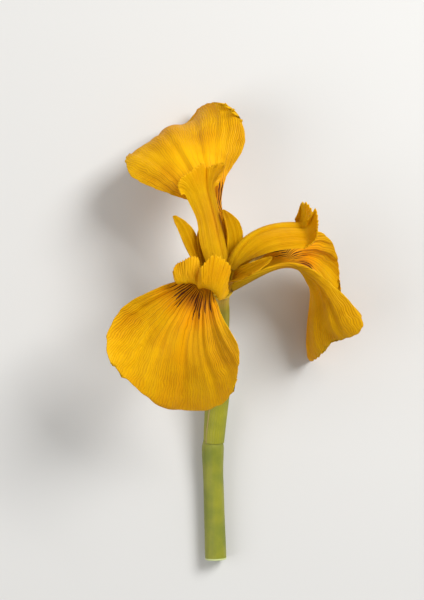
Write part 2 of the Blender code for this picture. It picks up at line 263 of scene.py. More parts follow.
def grid_normals(grid):
    """Unit normals of a grid of points, from its two tangent directions."""
    down = np.gradient(grid, axis=0)
    over = np.gradient(grid, axis=1)
    normal = np.cross(down, over)
    size = np.linalg.norm(normal, axis=-1)[..., None]
    return normal / np.maximum(size, 1e-9)


def on_table(points, clearance):
    """Whatever would sink into the table is bent up smoothly to rest on it."""
    points = points.copy()
    height = points[..., 2] - TABLE - clearance
    softness = 0.4
    points[..., 2] = softness * np.logaddexp(0.0, height / softness) + TABLE + clearance
    return points


# %% [markdown]
# A mesh is filled from whole arrays. A leaf is a closed body: its sheet is
# shifted half a thickness to each side, full in the middle and thin at the
# margin, and joined round the rim. Each point also knows its vein (the angle at
# which the vein leaves the haft) and its way along it, kept as a UV map; how near
# the margin it is; and whether it is on the upper side. The piece then rides on
# the flower's body and replaces its rough solid.

# %% From grids to pieces
ROOT = next(iter(frame["bodies"]))
TABLE_GAP = 0.1


def grid_object(name, grid, leaf=False):
    """Closed tube of rings of points in millimetres round the throat.

    A leaf's end rings are flat, so they are closed by a strip between its two
    sides; other ends are closed by one face. The sum of the faces' triple
    products is six times the volume, and its sign tells whether they point inwards.
    """
    rows, columns = grid.shape[:2]
    index = np.arange(rows * columns).reshape(rows, columns)
    ring = np.concatenate([index, index[:, :1]], axis=1)
    quads = np.stack([ring[:-1, :-1], ring[1:, :-1], ring[1:, 1:], ring[:-1, 1:]], -1)
    faces = quads.reshape(-1, 4).tolist()
    if leaf:
        half = columns // 2
        for row, step in ((index[0], 1), (index[-1], -1)):
            over, under = row[:half][::step], row[half:][::-1][::step]
            faces += np.stack([over[:-1], over[1:], under[1:], under[:-1]], -1).tolist()
    else:
        faces += [index[0].tolist(), index[-1][::-1].tolist()]
    mesh = bpy.data.meshes.new(name)
    mesh.from_pydata(((grid.reshape(-1, 3) + THROAT) * MM).tolist(), [], faces)
    mesh.polygons.foreach_set("use_smooth", np.ones(len(mesh.polygons), bool))
    corners = grid.reshape(-1, 3)[quads.reshape(-1, 4)]
    if np.sum(corners[:, 0] * np.cross(corners[:, 1], corners[:, 2])
              + corners[:, 0] * np.cross(corners[:, 2], corners[:, 3])) < 0:
        mesh.flip_normals()
    thing = bpy.data.objects.new(name, mesh)
    bpy.context.scene.collection.objects.link(thing)
    return thing


def add_places(thing, lane, along):
    """UV map `place`: which vein a point is on, and its way along it in centimetres."""
    mesh = thing.data
    corner = np.empty(len(mesh.loops), int)
    mesh.loops.foreach_get("vertex_index", corner)
    place = np.stack([lane.ravel(), along.ravel() / 10], -1)[corner]
    mesh.uv_layers.new(name="place").uv.foreach_set("vector", place.astype("f").ravel())


def add_value(thing, name, values):
    """A point attribute that the finishes can read."""
    made = thing.data.attributes.new(name, "FLOAT", "POINT")
    made.data.foreach_set("value", values.astype("f").ravel())


def leaf_object(name, grid, thickness, lane, along, margin):
    """A closed leaf, `thickness` mm in the middle and a third of it at the margin."""
    half = thickness / 2 * (1 / 3 + 2 / 3 * np.sqrt(1 - margin ** 4))
    shift = grid_normals(grid) * half[..., None]
    sides = np.concatenate([grid + shift, (grid - shift)[:, ::-1]], axis=1)
    thing = grid_object(name, on_table(sides, TABLE_GAP), leaf=True)
    lane, along, margin = (
        np.concatenate([values, values[:, ::-1]], axis=1) for values in (lane, along, margin))
    add_places(thing, lane, along)
    add_value(thing, "margin", margin)
    is_upper = np.zeros(lane.shape)
    is_upper[:, : lane.shape[1] // 2] = 1.0
    add_value(thing, "upper_side", is_upper)
    return thing


def settle(thing, material, node):
    """Give a piece its finish, tie it to the flower and hide its rough solid."""
    thing.data.materials.append(material)
    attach(thing, ROOT)
    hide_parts(node)
    print(thing.name, "has", len(thing.data.polygons), "faces")


# %% [markdown]
# Petal skin is matt to satin, thin enough to let some light through, and drawn
# over with fine veins that run from the foot of the petal and spread like a fan.
# Every vein is a line of constant first value in the `place` map, so that value
# times a number of veins gives stripes that follow the petal. A little noise
# keeps the stripes from looking ruled.

# %% Small helpers for materials
def srgb(red, green, blue):
    """A colour written in display values from 0 to 255, as linear values."""
    c = np.array([red, green, blue]) / 255
    linear = np.where(c <= 0.04045, c / 12.92, ((c + 0.055) / 1.055) ** 2.4)
    return (*linear.tolist(), 1.0)


class Finish:
    """A material's node tree, with short names for the nodes used here."""

    def __init__(self, name):
        self.material = bpy.data.materials.new(name)
        self.material.use_nodes = True
        self.tree = self.material.node_tree
        self.skin = self.tree.nodes["Principled BSDF"]
        self.output = self.tree.nodes["Material Output"]

    def put(self, socket, value):
        if isinstance(value, bpy.types.NodeSocket):
            self.tree.links.new(value, socket)
        elif value is not None:
            socket.default_value = value

    def math(self, operation, first, second=None, third=None):
        node = self.tree.nodes.new("ShaderNodeMath")
        node.operation = operation
        for socket, value in zip(node.inputs, (first, second, third)):
            self.put(socket, value)
        return node.outputs[0]

    def times(self, first, second):
        return self.math("MULTIPLY", first, second)

    def ramp(self, value, low, high, to_low=0.0, to_high=1.0):
        """Smooth step of a value from low to high."""
        node = self.tree.nodes.new("ShaderNodeMapRange")
        node.interpolation_type = "SMOOTHSTEP"
        for socket, number in zip(node.inputs, (value, low, high, to_low, to_high)):
            self.put(socket, number)
        return node.outputs[0]

    def mix(self, share, first, second, blend="MIX"):
        node = self.tree.nodes.new("ShaderNodeMix")
        node.data_type = "RGBA"
        node.blend_type = blend
        self.put(node.inputs[0], share)
        self.put(node.inputs[6], first)
        self.put(node.inputs[7], second)
        return node.outputs[2]

    def noise(self, scale, detail=3.0, vector=None):
        node = self.tree.nodes.new("ShaderNodeTexNoise")
        node.inputs["Scale"].default_value = scale
        node.inputs["Detail"].default_value = detail
        self.put(node.inputs["Vector"], vector or self.object_place())
        return node.outputs["Fac"]

    def object_place(self):
        return self.tree.nodes.new("ShaderNodeTexCoord").outputs["Object"]

    def place(self):
        """Across and along, read from the piece's own `place` map."""
        node = self.tree.nodes.new("ShaderNodeUVMap")
        node.uv_map = "place"
        split = self.tree.nodes.new("ShaderNodeSeparateXYZ")
        self.put(split.inputs[0], node.outputs[0])
        return split.outputs[0], split.outputs[1]

    def value(self, name):
        """One of the values kept at the piece's points, such as its margin."""
        node = self.tree.nodes.new("ShaderNodeAttribute")
        node.attribute_name = name
        return node.outputs["Fac"]

    def random_by(self, value):
        node = self.tree.nodes.new("ShaderNodeTexWhiteNoise")
        node.noise_dimensions = "1D"
        self.put(node.inputs["W"], value)
        return node.outputs["Value"]

    def stripes(self, value):
        """1 on each whole number of the value, 0 half way between."""
        turned = self.times(value, 2 * math.pi)
        wave = self.math("COSINE", turned)
        return self.math("MULTIPLY_ADD", wave, 0.5, 0.5)

    def bump(self, height, distance_mm, strength=1.0):
        node = self.tree.nodes.new("ShaderNodeBump")
        node.inputs["Distance"].default_value = distance_mm * MM
        node.inputs["Strength"].default_value = strength
        self.put(node.inputs["Height"], height)
        self.put(self.skin.inputs["Normal"], node.outputs[0])

    def glow_through(self, colour, share):
        """Mix in light that comes through the thin petal from its far side."""
        behind = self.tree.nodes.new("ShaderNodeBsdfTranslucent")
        self.put(behind.inputs["Color"], colour)
        both = self.tree.nodes.new("ShaderNodeMixShader")
        both.inputs[0].default_value = share
        self.tree.links.new(self.skin.outputs[0], both.inputs[1])
        self.tree.links.new(behind.outputs[0], both.inputs[2])
        self.tree.links.new(both.outputs[0], self.output.inputs["Surface"])


# %% [markdown]
# The falls carry the signal: a fan of purple-brown strokes where the haft opens
# into the blade. Each stroke is one vein. A random number for each vein sets
# where its dark part starts and ends, so the fan has a ragged outline; beyond it
# the vein runs on as a thin darker line, and new, finer veins appear between the
# old ones as the fan opens. The signal lies only on the upper side.

# %% Yellow petals
BRIGHT_YELLOW = srgb(245, 190, 2)
DEEP_YELLOW = srgb(235, 170, 0)
VEIN_YELLOW = srgb(196, 122, 0)
# Dark brown for the veins beyond the signal: partly darker vein colour, partly painted shade
PAINTED_SHADE_VEIN = srgb(132, 70, 4)
# A brighter yellow: the painted rim highlight at the petal margins, and the colour of light let
# through the petal
RIM_HIGHLIGHT_AND_TRANSLUCENT_YELLOW = srgb(248, 202, 16)
ORANGE = srgb(238, 142, 0)
RUST = srgb(158, 74, 8)
VEIN_BROWN = srgb(62, 16, 18)
HAFT_GREEN = srgb(150, 134, 14)


def petal_finish(name, veins, signal=None, haft_end=0.0, vein_depth=0.5):
    """Yellow petal skin with fine veins, a painted rim highlight at the margin and, if asked, the
    brown signal fan.
    """
    f = Finish(name)
    across, along = f.place()
    wander = f.noise(260.0, 2.0)
    lane = f.math("MULTIPLY_ADD", wander, 0.7, f.times(across, veins))
    line = f.math("POWER", f.stripes(lane), 4.0)
    finer = f.math("POWER", f.stripes(f.times(lane, 2.0)), 4.0)
    finest = f.math("POWER", f.stripes(f.times(lane, 4.0)), 3.0)
    coarse = f.times(line, 0.9)
    if signal:
        coarse = f.times(line, f.ramp(along, 2.2, 0.9, 0.25, 0.9))
        finer = f.times(finer, f.ramp(along, 0.7, 1.2))
        finest = f.times(finest, f.ramp(along, 1.3, 2.0, 0.0, 1.3))
    lines = f.math("MAXIMUM", coarse, f.times(finer, 0.7))
    lines = f.math("MAXIMUM", lines, f.times(finest, 0.55))
    if signal:
        pad = f.times(f.ramp(along, 1.2, 1.6), f.ramp(along, 3.4, 2.2))
        pad = f.times(pad, f.ramp(f.math("ABSOLUTE", across), 0.5, 0.2))
        lines = f.times(lines, f.math("MULTIPLY_ADD", pad, -0.75, 1.0))
    broken = f.ramp(f.noise(420.0, 3.0), 0.3, 0.65, 0.3, 1.0)
    cloud = f.noise(90.0, 4.0)
    grain = f.noise(2400.0, 3.0)
    colour = f.mix(f.ramp(cloud, 0.35, 0.7), BRIGHT_YELLOW, DEEP_YELLOW)
    veined = f.times(f.times(lines, broken), vein_depth)
    colour = f.mix(veined, colour, VEIN_YELLOW)
    if signal:
        # Painted shade: on the falls the veins are darkened in a mottled band from 1.2 to 4 cm out,
        # partly darker vein colour and partly shade like that in the valleys of the blade
        vein_shade_band = f.times(f.ramp(along, 1.2, 2.0), f.ramp(along, 4.0, 2.6))
        vein_shade_band = f.times(vein_shade_band, f.times(lines, f.ramp(cloud, 0.35, 0.65)))
        colour = f.mix(f.times(vein_shade_band, 0.6), colour, PAINTED_SHADE_VEIN)
    if haft_end:
        green = f.ramp(along, haft_end, haft_end - 1.0)
        colour = f.mix(f.times(green, 0.4), colour, HAFT_GREEN)
    if signal:
        colour = signal_fan(f, colour, lane, across, along, line, signal)
    # Painted rim highlight: the outer edge of every petal is lightened towards a brighter yellow, as
    # where light catches the thin margin
    colour = f.mix(f.times(f.ramp(f.value("margin"), 0.9, 1.0), 0.3), colour,
                   RIM_HIGHLIGHT_AND_TRANSLUCENT_YELLOW)
    f.put(f.skin.inputs["Base Color"], colour)
    f.put(f.skin.inputs["Roughness"], f.ramp(grain, 0.2, 0.8, 0.42, 0.6))
    f.skin.inputs["Specular IOR Level"].default_value = 0.12
    pits = f.noise(900.0, 3.0)
    height = f.math("MULTIPLY_ADD", lines, -0.8, f.times(grain, 0.35))
    f.bump(f.math("MULTIPLY_ADD", pits, 0.7, height), 0.22, 0.9)
    f.glow_through(f.mix(0.4, colour, RIM_HIGHLIGHT_AND_TRANSLUCENT_YELLOW), 0.25)
    return f.material


def signal_fan(f, colour, lane, across, along, line, signal):
    """Dark strokes on veins from `start` to `end` (cm from the focus) within `spread`."""
    start, end, spread = signal
    upper = f.math("GREATER_THAN", f.value("upper_side"), 0.5)
    centre = f.math("ABSOLUTE", across)
    inside = f.times(f.ramp(centre, spread * 1.1, spread * 0.5),
                    f.times(f.ramp(along, start - 0.3, start + 0.1),
                           f.ramp(along, end + 0.5, end - 0.3)))
    inside = f.times(inside, upper)
    colour = f.mix(f.times(inside, 0.55), colour, ORANGE)
    heart = f.times(f.ramp(centre, 0.75, 0.15),
                   f.times(f.ramp(along, start + 0.3, start + 0.6),
                          f.ramp(along, end - 0.1, end - 0.5)))
    colour = f.mix(f.times(f.times(heart, 0.6), upper), colour, RUST)
    whole = f.math("ROUND", lane)
    first = f.random_by(whole)
    second = f.random_by(f.math("ADD", whole, 37.5))
    from_here = f.math("MULTIPLY_ADD", first, 0.35, start - 0.15)
    to_here = f.math("MULTIPLY_ADD", second, 0.65, end - 0.55)
    to_here = f.math("SUBTRACT", to_here, f.times(centre, 0.25))
    ragged = f.math("MULTIPLY_ADD", f.noise(1400.0, 2.0), 0.3, f.math("SUBTRACT", along, 0.15))
    stroke = f.times(f.ramp(ragged, from_here, f.math("ADD", from_here, 0.12)),
                    f.ramp(ragged, to_here, f.math("SUBTRACT", to_here, 0.22)))
    stroke = f.times(stroke, f.ramp(centre, spread, spread * 0.8))
    needed = f.math("MULTIPLY_ADD", stroke, -0.83, 0.85)
    dark = f.times(f.ramp(line, needed, f.math("ADD", needed, 0.15)),
                  f.ramp(stroke, 0.0, 0.15))
    trail = f.times(f.ramp(along, end + 1.6, end - 0.2), f.ramp(line, 0.6, 0.95))
    trail = f.times(f.times(trail, 0.3),
                   f.times(f.ramp(centre, spread, spread * 0.7),
                          f.ramp(along, start, start + 0.3)))
    dark = f.times(f.math("MAXIMUM", f.times(dark, 0.97), trail), upper)
    return f.mix(dark, colour, VEIN_BROWN)


fall_skin = petal_finish("fall skin", 12.0, signal=(0.2, 1.4, 1.35), haft_end=0.2)
standard_skin = petal_finish("standard skin", 7.0, haft_end=0.9, vein_depth=0.35)
style_skin = petal_finish("style skin", 9.0, haft_end=0.6, vein_depth=0.14)
print("petal finishes:", [m.name for m in (fall_skin, standard_skin, style_skin)])

# %% [markdown]
# The three falls are the large drooping petals. A narrow gutter, the haft,
# rises from the throat; then the petal bends over into a broad blade. The front
# one hangs towards the viewer, the back one is spread flat and away, the right
# one is folded along its middle. On the blade the veins spread like a fan from a
# focus just behind the end of the haft. Between them lie shallow furrows, and
# the whole blade swells and sinks a little, as a living petal does.

# %% Falls
FALL_START = (3.6, 0.9)
FALL_ANGLES_AT = [0.0, 0.2, 0.4, 0.55, 0.75, 1.0]
FALL_WIDTHS_AT = [0.0, 0.2, 0.34, 0.42, 0.55, 0.7, 0.85, 1.0]
FALL_END = 0.22          # share of the length taken by the round end
FALL_GRID = (201, 181)   # rows along, columns across
FALL_THICKNESS = 0.5
HAFT_LENGTH = 19.5       # along the middle line, up to where the veins spread
FAN_BACK = 2.5           # how far the focus of the fan lies behind that place
# Swells are (angle in the fan, cm from its focus, size in angle, size in cm, height in mm)
FALLS = {
    "fall_front": dict(
        heading=150, length=61,
        rise=[70, 50, -40, -55, -65, -85], sweep=[25, 10, 20, 30, 55, 55],
        roll=[0, 5, 10, 15, 25, 15],
        cup_a=[60, 45, 30, 10, 10, 15], cup_b=[60, 50, 35, 25, 35, 30],
        width_a=[1.5, 3, 5.5, 12, 20.5, 22.5, 15, 9.5],
        width_b=[2, 3, 3.5, 8.5, 16.5, 18, 15.5, 12],
        swells=[(-0.05, 2.4, 0.38, 1.2, 1.5), (-0.65, 2.6, 0.2, 0.9, -0.7),
                 (-1.0, 3.6, 0.35, 1.0, 1.0), (0.75, 2.6, 0.2, 1.2, -0.5)]),
    "fall_back": dict(
        heading=30, length=68.5,
        rise=[55, 50, 35, 15, -20, -60], sweep=[-5, 0, 10, 0, -15, -15],
        roll=[0, -5, -10, -10, -10, -25],
        cup_a=[45, 30, 10, 10, 60, 70], cup_b=[50, 25, -10, -30, -40, -40],
        width_a=[3.5, 4, 3.5, 6.5, 15, 16, 11.5, 9.5],
        width_b=[5, 6.5, 3.5, 10.5, 19.5, 21, 18.5, 13.5],
        swells=[(0.1, 1.6, 0.5, 0.8, 0.8), (-0.5, 2.4, 0.25, 1.0, -0.6)]),
    "fall_right": dict(
        heading=-90, length=62,
        rise=[35, 20, -40, -75, -77, -67], sweep=[29, 38, 22, 12, -10, -30],
        roll=[-45, -20, 5, 5, 5, 0],
        cup_a=[100, 90, 80, 90, 90, 85], cup_b=[80, 80, 75, 75, 55, 25],
        width_a=[3, 5, 7.5, 12.5, 24.5, 17, 13.5, 9.5],
        width_b=[5, 10, 12, 14.5, 14, 13, 14, 14],
        swells=[(0.4, 2.0, 0.3, 0.9, 0.5), (-0.5, 3.0, 0.3, 1.0, -0.5)]),
}


def fan_places(out, along):
    """Angle of the vein through a point, and the way along it from the fan's focus.

    On the blade the veins are straight lines through the focus; in the haft they
    run side by side.
    """
    past = along - HAFT_LENGTH
    depth = FAN_BACK + np.maximum(past, 0.0)
    return np.arctan2(out, depth), np.hypot(out, depth) + np.minimum(past, 0.0)


def furrows(angle, way, wild):
    """Shallow folds that run with the veins and drift a little along them."""
    folds = 0.0
    for cycles, height in ((1.3, 0.5), (2.4, 0.34), (4.1, 0.22), (6.7, 0.14), (10.3, 0.08)):
        drift = 0.5 * np.sin(way * wild.uniform(0.15, 0.3) + wild.uniform(0, 6))
        folds = folds + height * np.sin(
            2 * math.pi * cycles * angle + wild.uniform(0, 6) + drift)
    return folds


def fall_sheet(petal, rows, columns, seed):
    """Points of a fall, its vein places and its margin."""
    wild = np.random.default_rng(seed)
    reach, across, margin = rounded_places(rows, columns, FALL_END, 2.0)
    ragged = sum(
        wild.uniform(0.001, 0.004) * np.sin(wild.uniform(30, 190) * reach + wild.uniform(0, 6))
        for _ in range(9))
    grid, out = sheet_points(
        petal, FALL_ANGLES_AT, FALL_WIDTHS_AT, FALL_START, reach * (1 + ragged * across ** 2),
        across * (1 + ragged))
    angle, way = fan_places(out, reach * petal["length"])
    blade = np.clip((way - 5) / 6, 0.0, 1.0)
    lift = furrows(angle, way, wild) * blade * (1 - 0.6 * margin ** 6)
    for place, distance, wide, long, height in petal["swells"]:
        lift = lift + height * blade * bell(angle, place, wide) * bell(way / 10, distance, long)
    for _ in range(4):
        wave = np.sin(wild.uniform(3, 8) * angle + wild.uniform(0, 6))
        lift = lift + wild.uniform(0.15, 0.4) * blade * margin ** 6 * wave
    return grid + grid_normals(grid) * lift[..., None], angle, way, margin


for seed, (name, petal) in enumerate(FALLS.items(), 3):
    grid, angle, way, margin = fall_sheet(petal, *FALL_GRID, seed)
    fall = leaf_object(name + "_petal", grid, FALL_THICKNESS, angle, way, margin)
    settle(fall, fall_skin, name)

# %% [markdown]
# The standards of this kind of iris are small and narrow: waisted at the foot,
# widest past the middle, slightly boat-shaped. They stand between the falls.

# %% Standards
STANDARD_START = (3.5, 1.0)
STANDARD_END = 0.45
STANDARD_THICKNESS = 0.45
STANDARD_ANGLES_AT = [0.0, 0.25, 0.5, 0.75, 1.0]
STANDARD_WIDTHS_AT = [0.0, 0.3, 0.5, 0.75, 1.0]
STANDARDS = {
    "standard_left": dict(
        heading=90, length=24,
        rise=[40, 45, 45, 40, 30], sweep=[-5, -25, -35, -35, -25],
        roll=[0, 5, 10, 5, 5],
        cup_a=[50, 50, 50, 50, 50], cup_b=[50, 50, 55, 55, 50],
        width_a=[0.5, 1.5, 3, 3.5, 2.5],
        width_b=[1, 2, 3, 3, 2.5]),
    "standard_back": dict(
        heading=-30, length=23.5,
        rise=[50, 62, 62, 58, 55], sweep=[31, 46, 71, 92, 108],
        roll=[5, 5, 5, 5, 0],
        cup_a=[50, 50, 50, 50, 50], cup_b=[50, 50, 55, 55, 50],
        width_a=[1.6, 2.2, 3.4, 4.2, 2.2],
        width_b=[2, 3, 3.5, 3.5, 2]),
    "standard_right": dict(
        heading=-150, length=23,
        rise=[90, 75, 55, 45, 40], sweep=[-5, 20, 55, 75, 90],
        roll=[5, 5, 10, 5, 0],
        cup_a=[50, 50, 50, 50, 50], cup_b=[50, 55, 55, 50, 50],
        width_a=[1.5, 2, 3.5, 3.5, 2],
        width_b=[1.5, 2, 2.5, 2, 1.5]),
}

for name, petal in STANDARDS.items():
    reach, across, margin = rounded_places(81, 51, STANDARD_END, 1.0)
    grid, _ = sheet_points(
        petal, STANDARD_ANGLES_AT, STANDARD_WIDTHS_AT, STANDARD_START, reach, across)
    crease = -0.3 * bell(across, 0.0, 0.15) + 0.08 * np.cos(2 * math.pi * 3 * across)
    wavy = 0.2 * margin ** 4 * np.sin(14 * reach + 3 * across)
    grid = grid + grid_normals(grid) * (crease + wavy)[..., None]
    standard = leaf_object(
        name + "_petal", grid, STANDARD_THICKNESS, across, reach * petal["length"], margin)
    settle(standard, standard_skin, name)

# %% [markdown]
# The style of an iris looks like three more petals: from a short column each arm
# bends outwards over a fall, like a roof over a stamen, with a keel along its
# middle. At its end the strap splits into two crests that fold up and back; each
# is an ear with a finely toothed edge. A crest's points leave the end of the
# strap in the strap's own direction and bend towards a set of vectors: the curve
# 2 u (1 - u) k t + u^2 v, with t the strap's direction and v the vector.

# %% Style arms and column
STYLE_START = (1.3, 9.0)
STYLE_COLUMNS = 201
STYLE_THICKNESS = 0.5
STYLE_AT = [0.0, 0.35, 0.7, 1.0]
# A crest is set by (share from keel to margin, x, y, z from the end of the strap to its
# edge); `fold` is k, how far a crest keeps the direction of the strap, in mm
STYLE_ARMS = {
    "back": dict(
        heading=30, length=22.5,
        rise=[45, 40, 35, 45], sweep=[5, 5, 5, 10],
        roll=[0, 5, 0, 0],
        cup_a=[-80, -65, -45, -25], cup_b=[-75, -55, -40, -25],
        width_a=[3.5, 3.5, 2.5, 2.5],
        width_b=[5.5, 6.2, 5.5, 7],
        fold=3,
        crest_a=[
            (0, -0.5, 7, 1), (0.15, 0.5, 7.5, 1.5), (0.4, 2, 8, 1.5), (0.65, 3.5, 8, 0.5),
            (0.85, 3, 6, -0.5), (1, 1, 1.5, -0.5)],
        crest_b=[
            (0, -0.5, 7, 1), (0.08, -1, 8.5, 2.5), (0.2, -1.5, 8, 2.5), (0.4, -3, 6.5, 3),
            (0.6, -4, 5, 3.5), (0.85, -3.5, 2.5, 2.5), (1, -1.5, 0.5, 1.5)]),
    "right": dict(
        heading=-90, length=28,
        rise=[70, 35, 5, -10], sweep=[85, 50, 30, 20],
        roll=[0, -5, -10, -10],
        cup_a=[-70, -60, -55, -45], cup_b=[-70, -70, -65, -55],
        width_a=[1.5, 6, 8, 8],
        width_b=[2, 3.5, 4.3, 6.5],
        fold=3,
        crest_a=[
            (0, 2, 2.5, 5), (0.1, 3, 4.5, 6), (0.2, 3.5, 6, 6), (0.4, 4, 3.5, 5), (0.6, 4, 2.5, 4.5),
            (0.8, 3, 1, 3), (0.92, 1, 0, 1.5), (1, 0, 0, 0.5)],
        crest_b=[
            (0, 2, 2.5, 5), (0.08, 3, 3.5, 5.5), (0.2, 3, 4.5, 5), (0.35, 2, 6, 5),
            (0.45, 2, 5.5, 4.5), (0.6, 1.5, 6, 4.5), (0.8, 1, 3.5, 3), (1, 0.5, 1.5, 1.5)]),
    "front": dict(
        heading=150, length=21,
        rise=[60, 40, 15, -5], sweep=[10, 10, 15, 20],
        roll=[10, 5, 10, 5],
        cup_a=[-60, -55, -45, -35], cup_b=[-55, -60, -60, -60],
        width_a=[2.5, 4, 5.5, 6.5],
        width_b=[2, 3.5, 5, 7],
        fold=6,
        crest_a=[
            (0, -1.5, 2, 2), (0.1, -0.5, 5.5, 1.5), (0.25, -1, 6.5, 2), (0.45, -2.5, 5.5, 2),
            (0.65, -3.5, 4.5, 1.5), (0.85, -3.5, 2, 1.5), (1, -2, 0, 1)],
        crest_b=[
            (0, -1.5, 2, 2), (0.1, -1.5, 3.5, 5), (0.25, -1, 6, 6), (0.4, 0.5, 8.5, 6.5),
            (0.55, 2.5, 8, 5.5), (0.7, 3.5, 6.5, 4), (0.85, 2.5, 3, 1.5), (1, 2, 0.5, 0)]),
}


def crest_edge(stations, share):
    """Vectors from the end of the strap to the edge of a crest."""
    stations = np.array(stations)
    return np.stack([curve_through(stations[:, 0], stations[:, i], share) for i in (1, 2, 3)], -1)


def style_sheet(petal, columns, seed):
    """Points of a strap and its two crests, as one sheet of rows."""
    wild = np.random.default_rng(seed)
    across = np.linspace(-1.0, 1.0, columns)
    reach, wide = np.meshgrid(np.linspace(0.0, 1.0, 81), across, indexing="ij")
    strap, _ = sheet_points(petal, STYLE_AT, STYLE_AT, STYLE_START, reach, wide)
    lift = 0.5 * bell(wide, 0.0, 0.13) - 0.3 * bell(np.abs(wide), 0.3, 0.14)
    lift = lift + 0.08 * np.cos(2 * math.pi * 3.5 * wide) * np.clip(reach * 2, 0, 1)
    lift = lift * np.clip(reach * 4, 0.0, 1.0)
    strap = strap + grid_normals(strap) * -lift[..., None]
    onward = strap[-1] - strap[-4]
    onward /= np.linalg.norm(onward, axis=1)[:, None]
    edge = np.where(
        across[:, None] < 0, crest_edge(petal["crest_a"], np.abs(across)),
        crest_edge(petal["crest_b"], np.abs(across)))
    teeth = 0.03 * np.sin(95 * across + wild.uniform(0, 6))
    teeth = teeth + 0.02 * np.sin(171 * across + wild.uniform(0, 6))
    edge = edge * (1 + teeth * np.clip(8 * np.abs(across), 0, 1))[:, None]
    u = np.linspace(0.0, 1.0, 71)[1:, None, None]
    fold = petal["fold"] * np.minimum(np.linalg.norm(edge, axis=1) / 4, 1.0)[:, None]
    crest = strap[-1] + 2 * u * (1 - u) * fold * onward + u ** 2 * edge
    ripple = 0.12 * np.sin(13 * across[None] + 2.5 * u[..., 0]) * u[..., 0]
    crest = crest + grid_normals(crest) * ripple[..., None]
    grid = np.concatenate([strap, crest])
    along = np.concatenate([
        reach * petal["length"],
        petal["length"] + u[..., 0] * np.linalg.norm(edge, axis=1)[None]])
    wide = np.repeat(across[None], len(grid), axis=0)
    rows_left = np.linspace(len(grid) - 1, 0, len(grid))[:, None]
    margin = np.maximum(np.abs(wide), np.clip(1 - rows_left / 8, 0.0, 1.0))
    return grid, wide, along, margin


for seed, (name, petal) in enumerate(STYLE_ARMS.items(), 11):
    grid, wide, along, margin = style_sheet(petal, STYLE_COLUMNS, seed)
    arm = leaf_object("style_arm_" + name, grid, STYLE_THICKNESS, wide, along, margin)
    settle(arm, style_skin, "style")

column_at = np.array([0.2, 1.0, 3.0, 6.0, 8.5, 9.8])
column = rings(
    column_at[:, None] * AXIS, np.repeat(AWAY[None], 6, 0), np.repeat(LEFT[None], 6, 0),
    np.array([1.2, 1.35, 1.3, 1.3, 1.5, 1.2])[:, None] * np.ones(48), 48)
column = grid_object("style_column", column)
place_angle = np.repeat(np.linspace(-1, 1, 48)[None], 6, 0)
add_places(column, place_angle, np.repeat(column_at[:, None], 48, 1))
settle(column, style_skin, "style")

# %% [markdown]
# Each stamen stands under a style arm: a thin pale filament from the foot of the
# fall and a long anther that opens downwards. It is a round body whose radius
# swells where the anther begins, with a groove along it.

# %% Stamens
STAMEN_LINE = [
    (1.8, 0.22, 0.4), (4.0, 0.36, 0.45), (7.0, 0.44, 0.45), (9.5, 0.47, 0.5),
    (10.5, 0.48, 0.85), (14.0, 0.49, 0.9), (18.0, 0.50, 0.8), (19.5, 0.50, 0.35),
]


def stamen_finish():
    f = Finish("stamen")
    _, along = f.place()
    pollen = f.noise(5200.0, 2.0)
    anther = f.ramp(along, 0.92, 1.0)
    dusty = f.mix(f.ramp(pollen, 0.4, 0.65), srgb(168, 122, 40), srgb(226, 186, 84))
    f.put(f.skin.inputs["Base Color"], f.mix(anther, srgb(216, 196, 96), dusty))
    f.skin.inputs["Roughness"].default_value = 0.8
    f.bump(pollen, 0.15, 0.7)
    return f.material


stamen_skin = stamen_finish()
for name, arm in STYLE_ARMS.items():
    fall = FALLS["fall_" + name]
    station, share, radius = np.array(STAMEN_LINE).T
    fine = np.linspace(station[0], station[-1], 60)
    fall_share, fall_points = middle_line(fall, FALL_ANGLES_AT, FALL_START)[:2]
    arm_share, arm_points = middle_line(arm, STYLE_AT, STYLE_START)[:2]
    low, high = (
        np.stack([np.interp(fine / petal["length"], shares, line[:, i]) for i in range(3)], -1)
        for petal, shares, line in (
            (fall, fall_share, fall_points), (arm, arm_share, arm_points)))
    mixed = curve_through(station, share, fine)[:, None]
    centre = low * (1 - mixed) + high * mixed
    along = np.gradient(centre, axis=0)
    across = np.cross(along, AXIS)
    across /= np.linalg.norm(across, axis=1)[:, None]
    up = np.cross(across, along)
    up /= np.linalg.norm(up, axis=1)[:, None]
    angle = np.linspace(0.0, 2 * math.pi, 24, endpoint=False)
    groove = 1 - 0.18 * np.clip((fine - 9.5) / 2, 0, 1)[:, None] * np.cos(2 * angle)[None] ** 4
    round_end = np.sqrt(np.clip((19.7 - fine) / 1.2, 0.02, 1))
    radii = (curve_through(station, radius, fine) * round_end)[:, None] * groove
    stamen = grid_object("stamen_" + name + "_body", rings(centre, across, up, radii, 24))
    add_places(stamen, np.repeat(angle[None], 60, 0), np.repeat(fine[:, None], 24, 1))
    settle(stamen, stamen_skin, "stamen_" + name)

# %% [markdown]
# Below the throat everything is green: the tube is still yellowish, the ovary is
# dull green with three rounded lobes, and the stem is a smooth stalk with faint
# lengthwise ribs and a fresh, paler cut. They are round bodies carried along the
# bent line, with small ribs added to the radius.

